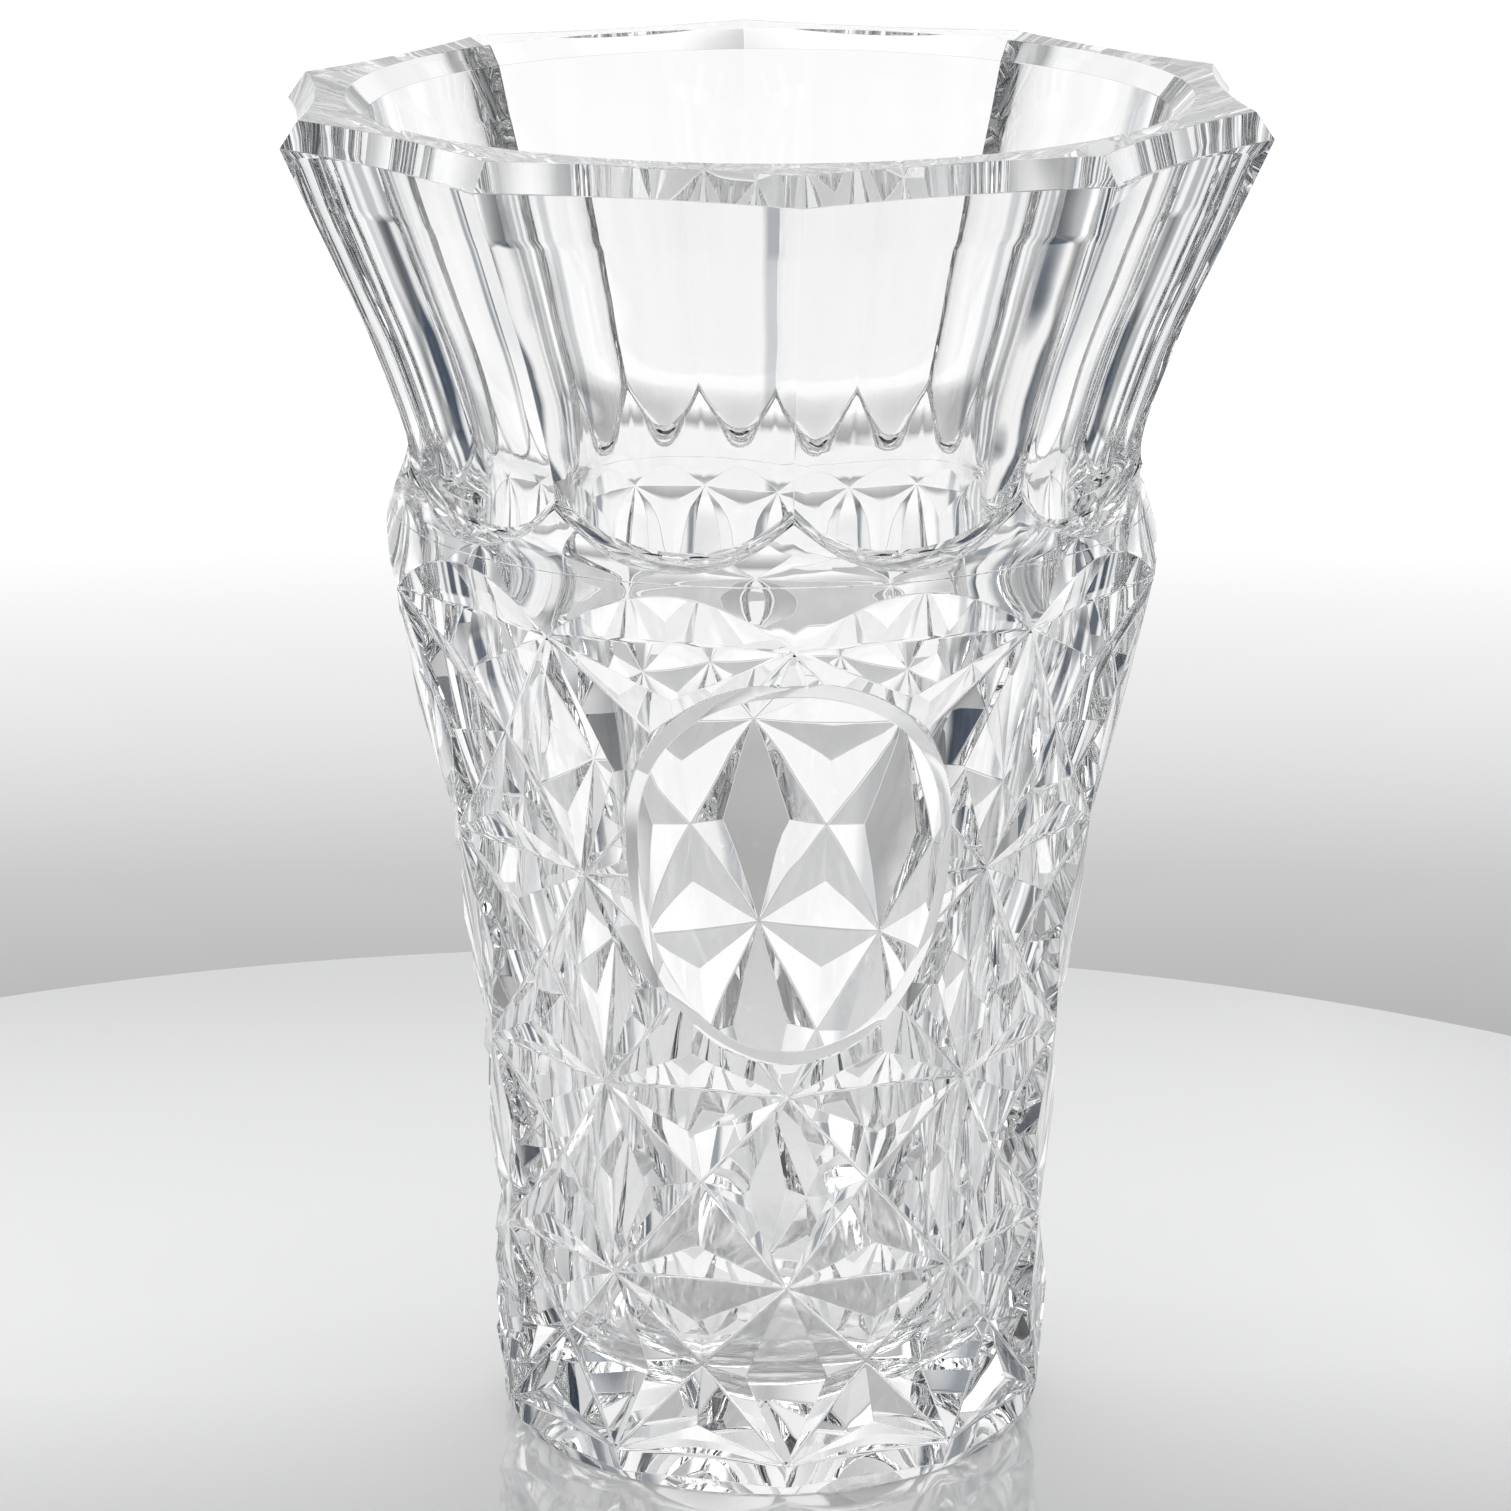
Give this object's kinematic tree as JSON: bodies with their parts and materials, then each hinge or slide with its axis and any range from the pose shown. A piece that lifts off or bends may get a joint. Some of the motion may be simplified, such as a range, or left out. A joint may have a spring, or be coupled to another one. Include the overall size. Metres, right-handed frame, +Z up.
{
  "type": "vase",
  "caption": "Tall flared crystal vase with a fluted neck, a star-cut body and a clear oval tablet on its front.",
  "frame": {"origin": "centre of the foot, on the surface the vase stands on", "axes": "+Z up along the vase's axis to the mouth, -Y out of the front through the oval tablet, +X to the right of someone facing the tablet"},
  "size_m": [0.208, 0.2188, 0.3],
  "materials": {
    "neck_crystal": "polished clear crystal",
    "body_crystal": "polished clear cut crystal",
    "tablet_crystal": "polished clear crystal"
  },
  "bodies": {
    "root": {"fluted_neck": "neck_crystal", "star_cut_body": "body_crystal", "oval_tablet": "tablet_crystal"}
  },
  "joints": []
}
